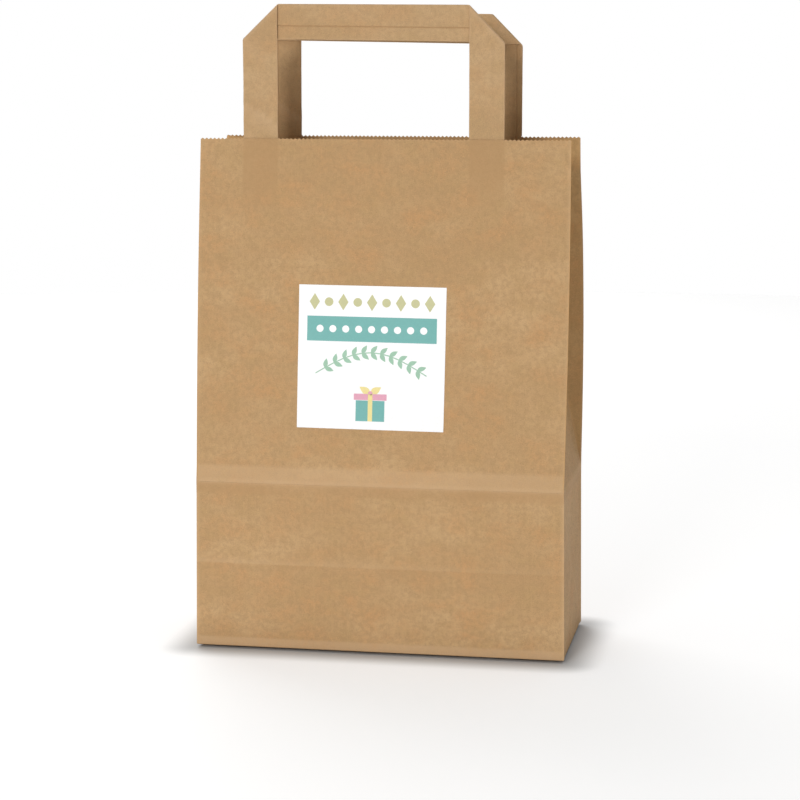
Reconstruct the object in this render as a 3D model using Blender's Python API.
"""Flat-handled kraft gift bag with gusseted sides and a pasted block bottom.

Every sheet is drawn in millimetres on its own flat face and placed in metres.
+Z is up, the front faces -Y and the bag stands on z = 0. The box below the
crease is rigid. The walls above it turn about the crease to close the mouth,
and each handle turns about the mouth edge it is glued behind.
"""
import math

import bmesh
import bpy
from mathutils import Vector

MM = 0.001

# Bag, along the sheets
WIDTH = 180.0
DEPTH = 80.0
CREASE_Z = 83.0
UPPER_RISE = 167.0
LEAN = math.radians(5.4)

# Sheets: paper plates with a clear gap where two meet or lie on each other
PAPER = 0.3
GAP = 0.3
HALF_FOLD_GAP = 0.15
PINK_PITCH = 2.0
PINK_DEPTH = 0.7

# Gusset facets, cut back from their creases so that they can fold
HINGE_CLEAR = 1.3
RIDGE_CLEAR = 0.6
WEDGE_LOW = 0.8
WEDGE_HIGH = 2.0
TIP_WIDTH = 1.0
APEX_HALF = 1.5

# Folded tape handles
TAPE = 0.6
TAPE_LIFT = PAPER + GAP
TAPE_WIDTH = {"front": 17.0, "back": 14.5}
HANDLE_SPAN = {"front": 126.8, "back": 125.6}
HANDLE_SHIFT = {"front": -5.2, "back": -2.2}
HANDLE_RISE = {"front": 63.2, "back": 59.1}
HANDLE_START = 0.3
TAIL_DROP = 0.6
TAIL_LENGTH = 38.0
PATCH_SIDE = 10.0
PATCH_TOP = 6.0
PATCH_HEIGHT = 44.0

# Pasted bottom
FRONT_FLAP = 55.0
BACK_FLAP = 50.0
FLAP_SHOULDER = 50.0

# Glue lap of the tube, inside the back wall
LAP_EDGE = 4.0
LAP_WIDTH = 12.0

# Label
LABEL_WIDTH = 71.5
LABEL_HEIGHT = 69.0
LABEL_U = -4.1
LABEL_V = 62.2
LABEL_TURN = math.radians(-0.35)
LABEL = 0.2

KRAFT = (0.533, 0.342, 0.165, 1.0)
KRAFT_TAPE = (0.565, 0.369, 0.184, 1.0)
KRAFT_PATCH = (0.503, 0.318, 0.150, 1.0)
LABEL_WHITE = (0.880, 0.880, 0.860, 1.0)


class Face:
    """A flat drawing plane: origin, the way u runs, the way v runs, and its depth."""

    def __init__(self, origin, across, along, depth):
        self.origin = Vector(origin)
        self.across = Vector(across).normalized()
        self.along = Vector(along).normalized()
        self.depth = Vector(depth).normalized()

    def point(self, u, v, lift=0.0):
        return self.origin + self.across * u + self.along * v + self.depth * lift


def clear_scene():
    for obj in list(bpy.data.objects):
        bpy.data.objects.remove(obj, do_unlink=True)


def make_material(name, colour, roughness):
    material = bpy.data.materials.new(name)
    material.use_nodes = True
    shader = material.node_tree.nodes["Principled BSDF"]
    shader.inputs["Base Color"].default_value = colour
    shader.inputs["Roughness"].default_value = roughness
    material.diffuse_color = colour
    return material


def hinge(name, place, parent=None):
    """An empty on a joint axis; the pieces of the moving body hang from it."""
    empty = bpy.data.objects.new(name, None)
    bpy.context.scene.collection.objects.link(empty)
    empty.empty_display_size = 0.01
    empty["place_mm"] = tuple(place)
    base = Vector(parent["place_mm"]) if parent else Vector((0.0, 0.0, 0.0))
    empty.parent = parent
    empty.location = (Vector(place) - base) * MM
    return empty


def plate(name, face, outline, lift, thickness, colour, body=None, roughness=0.85):
    """A closed sheet: the outline on the face, from lift to lift + thickness."""
    base = Vector(body["place_mm"]) if body else Vector((0.0, 0.0, 0.0))
    mesh = bmesh.new()
    near = [mesh.verts.new((face.point(u, v, lift) - base) * MM) for u, v in outline]
    far = [mesh.verts.new((face.point(u, v, lift + thickness) - base) * MM) for u, v in outline]
    count = len(outline)
    mesh.faces.new(near)
    mesh.faces.new(list(reversed(far)))
    for i in range(count):
        j = (i + 1) % count
        mesh.faces.new((near[j], near[i], far[i], far[j]))
    bmesh.ops.recalc_face_normals(mesh, faces=mesh.faces)
    data = bpy.data.meshes.new(name)
    mesh.to_mesh(data)
    mesh.free()
    data.materials.append(make_material(name, colour, roughness))
    obj = bpy.data.objects.new(name, data)
    bpy.context.scene.collection.objects.link(obj)
    obj.parent = body
    return obj


def pinked(u_from, u_to, v):
    """Zigzag cut edge between two points at height v; both ends are valleys."""
    teeth = max(1, round(abs(u_to - u_from) / PINK_PITCH))
    step = (u_to - u_from) / teeth
    points = [(u_from, v - PINK_DEPTH)]
    for i in range(teeth):
        points.append((u_from + (i + 0.5) * step, v))
        points.append((u_from + (i + 1) * step, v - PINK_DEPTH))
    return points


def rectangle(u_low, u_high, v_low, v_high):
    return [(u_low, v_low), (u_high, v_low), (u_high, v_high), (u_low, v_high)]


def turned_rectangle(u, v, width, height, angle):
    cos_a = math.cos(angle)
    sin_a = math.sin(angle)
    corners = rectangle(-width / 2.0, width / 2.0, -height / 2.0, height / 2.0)
    return [(u + a * cos_a - b * sin_a, v + a * sin_a + b * cos_a) for a, b in corners]


def centre_tilt(lean):
    """Inward tilt of a gusset's centre facet when the walls lean by this much."""
    half_depth = DEPTH / 2.0
    cosine = (1.0 - half_depth / UPPER_RISE * math.sin(lean)) / math.cos(lean)
    return math.acos(cosine)


def low_faces():
    half_w = WIDTH / 2.0
    half_d = DEPTH / 2.0
    return {
        "front": Face((0, -half_d, 0), (1, 0, 0), (0, 0, 1), (0, 1, 0)),
        "back": Face((0, half_d, 0), (1, 0, 0), (0, 0, 1), (0, -1, 0)),
        "left": Face((-half_w, 0, 0), (0, 1, 0), (0, 0, 1), (1, 0, 0)),
        "right": Face((half_w, 0, 0), (0, 1, 0), (0, 0, 1), (-1, 0, 0)),
        "base": Face((0, 0, 0), (1, 0, 0), (0, 1, 0), (0, 0, 1)),
    }


def wall_face(side):
    """Face of an upper wall, leaning in from the crease."""
    sign = -1.0 if side == "front" else 1.0
    along = (0, -sign * math.sin(LEAN), math.cos(LEAN))
    depth = (0, -sign * math.cos(LEAN), -math.sin(LEAN))
    return Face((0, sign * DEPTH / 2.0, CREASE_Z), (1, 0, 0), along, depth)


def centre_face(side):
    """Face of a gusset's centre facet, leaning in from the crease."""
    sign = -1.0 if side == "left" else 1.0
    tilt = centre_tilt(LEAN)
    along = (-sign * math.sin(tilt), 0, math.cos(tilt))
    depth = (-sign * math.cos(tilt), 0, -math.sin(tilt))
    return Face((sign * WIDTH / 2.0, 0, CREASE_Z), (0, 1, 0), along, depth)


def wing_face(side, wall):
    """Face of a gusset's side facet: from a wall's edge to the centre facet's apex."""
    sign = -1.0 if side == "left" else 1.0
    panel = wall_face(wall)
    corner = panel.point(sign * WIDTH / 2.0, 0.0)
    top = panel.point(sign * WIDTH / 2.0, UPPER_RISE)
    apex = centre_face(side).point(0.0, UPPER_RISE)
    across = apex - top
    outward = across.cross(panel.along)
    if outward.x * sign < 0.0:
        outward = -outward
    return Face(corner, across, panel.along, outward)


def handle_face(wall):
    """Upright face through the hinge line at the middle of the wall's cut edge."""
    panel = wall_face(wall)
    middle = panel.point(0.0, UPPER_RISE, PAPER / 2.0)
    inward = (0, 1, 0) if wall == "front" else (0, -1, 0)
    return Face(middle, (1, 0, 0), (0, 0, 1), inward)


def flap_outline(sign, depth_in):
    """A pasted flap from a wall's foot: mitred at both ends, then straight."""
    half_w = WIDTH / 2.0 - PAPER - GAP
    foot = DEPTH / 2.0 - PAPER - GAP
    edge = foot - depth_in
    corners = [(-half_w, foot), (half_w, foot), (FLAP_SHOULDER, 0.0)]
    corners += [(FLAP_SHOULDER, edge), (-FLAP_SHOULDER, edge), (-FLAP_SHOULDER, 0.0)]
    return [(u, sign * v) for u, v in corners]


def end_outline(sign):
    """The corner-to-corner triangle that a gusset's foot folds into."""
    half_w = WIDTH / 2.0 - PAPER - GAP
    foot = DEPTH / 2.0 - PAPER - GAP
    return [(sign * half_w, -foot), (sign * half_w, foot), (sign * FLAP_SHOULDER, 0.0)]


def build_lower_box():
    faces = low_faces()
    top = CREASE_Z - HALF_FOLD_GAP
    half_w = WIDTH / 2.0
    half_g = DEPTH / 2.0 - PAPER - GAP
    for side in ("front", "back"):
        outline = rectangle(-half_w, half_w, 0.0, top)
        plate(side + "_lower_panel", faces[side], outline, 0.0, PAPER, KRAFT)
    for side in ("left", "right"):
        outline = rectangle(-half_g, half_g, 0.0, top)
        plate(side + "_lower_gusset", faces[side], outline, 0.0, PAPER, KRAFT)
    step = PAPER + GAP
    plate("base_front_flap", faces["base"], flap_outline(-1.0, FRONT_FLAP), 0.0, PAPER, KRAFT)
    plate("base_back_flap", faces["base"], flap_outline(1.0, BACK_FLAP), step, PAPER, KRAFT)
    plate("base_left_flap", faces["base"], end_outline(-1.0), 2 * step, PAPER, KRAFT)
    plate("base_right_flap", faces["base"], end_outline(1.0), 2 * step, PAPER, KRAFT)
    lap = rectangle(LAP_EDGE - half_w, LAP_EDGE + LAP_WIDTH - half_w, 2 * step + 1.0, top)
    plate("seam_lap_lower", faces["back"], lap, PAPER + GAP, PAPER, KRAFT)


def build_wall(wall, body):
    face = wall_face(wall)
    half_w = WIDTH / 2.0
    edge = pinked(half_w, -half_w, UPPER_RISE)
    outline = [(-half_w, HALF_FOLD_GAP), (half_w, HALF_FOLD_GAP)] + edge
    plate(wall + "_upper_panel", face, outline, 0.0, PAPER, KRAFT, body)


def build_seam_lap(body):
    face = wall_face("back")
    low = LAP_EDGE - WIDTH / 2.0
    edge = pinked(low + LAP_WIDTH, low, UPPER_RISE)
    outline = [(low, 1.0), (low + LAP_WIDTH, 1.0)] + edge
    plate("seam_lap_upper", face, outline, PAPER + GAP, PAPER, KRAFT, body)


def build_gusset_centre(side, body):
    half = DEPTH / 2.0 - RIDGE_CLEAR
    slope = DEPTH / 2.0 / UPPER_RISE
    low = HALF_FOLD_GAP
    tip = (half - APEX_HALF) / slope
    wide = half - slope * low
    outline = [(-wide, low), (wide, low), (APEX_HALF, tip), (-APEX_HALF, tip)]
    plate(side + "_gusset_centre", centre_face(side), outline, 0.0, PAPER, KRAFT, body)


def build_gusset_wing(side, wall, body):
    slope = DEPTH / 2.0 / UPPER_RISE
    low = (HINGE_CLEAR + TIP_WIDTH + WEDGE_LOW) / slope
    high = DEPTH / 2.0 - WEDGE_HIGH
    edge = pinked(high, HINGE_CLEAR, UPPER_RISE)
    outline = [(HINGE_CLEAR, low), (HINGE_CLEAR + TIP_WIDTH, low)] + edge
    name = side + "_gusset_" + wall
    plate(name, wing_face(side, wall), outline, 0.0, PAPER, KRAFT, body)


def handle_edges(wall):
    """Outer and inner edges of both legs, from left to right."""
    left = HANDLE_SHIFT[wall] - HANDLE_SPAN[wall] / 2.0
    right = HANDLE_SHIFT[wall] + HANDLE_SPAN[wall] / 2.0
    return left, left + TAPE_WIDTH[wall], right - TAPE_WIDTH[wall], right


def build_tails_and_patch(wall, body):
    """Glued ends of the tape inside the wall, and the sheet pasted over them."""
    face = wall_face(wall)
    top = UPPER_RISE - TAIL_DROP
    left, inner_left, inner_right, right = handle_edges(wall)
    spans = {"left": (left, inner_left), "right": (inner_right, right)}
    for side, (low, high) in spans.items():
        outline = rectangle(low, high, top - TAIL_LENGTH, top)
        plate(wall + "_tail_" + side, face, outline, TAPE_LIFT, TAPE, KRAFT_TAPE, body)
    patch_top = UPPER_RISE - PATCH_TOP
    outline = rectangle(left - PATCH_SIDE, right + PATCH_SIDE, patch_top - PATCH_HEIGHT, patch_top)
    plate(wall + "_patch", face, outline, TAPE_LIFT + TAPE + GAP, PAPER, KRAFT_PATCH, body)


def build_handle(wall, body):
    """Two legs and a grip; the tape turns through a 45 degree fold at each corner."""
    face = handle_face(wall)
    rise = HANDLE_RISE[wall]
    left, inner_left, inner_right, right = handle_edges(wall)
    low = rise - TAPE_WIDTH[wall]
    lift = TAPE_LIFT - PAPER / 2.0
    leg = [(left, HANDLE_START), (inner_left, HANDLE_START), (inner_left, rise), (left, low)]
    plate(wall + "_handle_left_leg", face, leg, lift, TAPE, KRAFT_TAPE, body)
    leg = [(inner_right, HANDLE_START), (right, HANDLE_START), (right, low), (inner_right, rise)]
    plate(wall + "_handle_right_leg", face, leg, lift, TAPE, KRAFT_TAPE, body)
    grip = [(left, low), (right, low), (inner_right, rise), (inner_left, rise)]
    plate(wall + "_handle_grip", face, grip, lift + TAPE + GAP, TAPE, KRAFT_TAPE, body)


def build_label(body):
    face = wall_face("front")
    outline = turned_rectangle(LABEL_U, LABEL_V, LABEL_WIDTH, LABEL_HEIGHT, LABEL_TURN)
    plate("label", face, outline, -GAP - LABEL, LABEL, LABEL_WHITE, body, roughness=0.45)


def build_upper_walls():
    for wall in ("front", "back"):
        fold = hinge(wall + "_fold_axis", wall_face(wall).point(0.0, 0.0))
        build_wall(wall, fold)
        build_tails_and_patch(wall, fold)
        swing = hinge(wall + "_handle_axis", handle_face(wall).point(0.0, 0.0), fold)
        build_handle(wall, swing)
        for side in ("left", "right"):
            place = wing_face(side, wall).point(0.0, 0.0)
            wing = hinge(side + "_" + wall + "_wing_axis", place, fold)
            build_gusset_wing(side, wall, wing)
        if wall == "front":
            build_label(fold)
        else:
            build_seam_lap(fold)
    for side in ("left", "right"):
        centre = hinge(side + "_centre_axis", centre_face(side).point(0.0, 0.0))
        build_gusset_centre(side, centre)


def main():
    clear_scene()
    build_lower_box()
    build_upper_walls()


main()
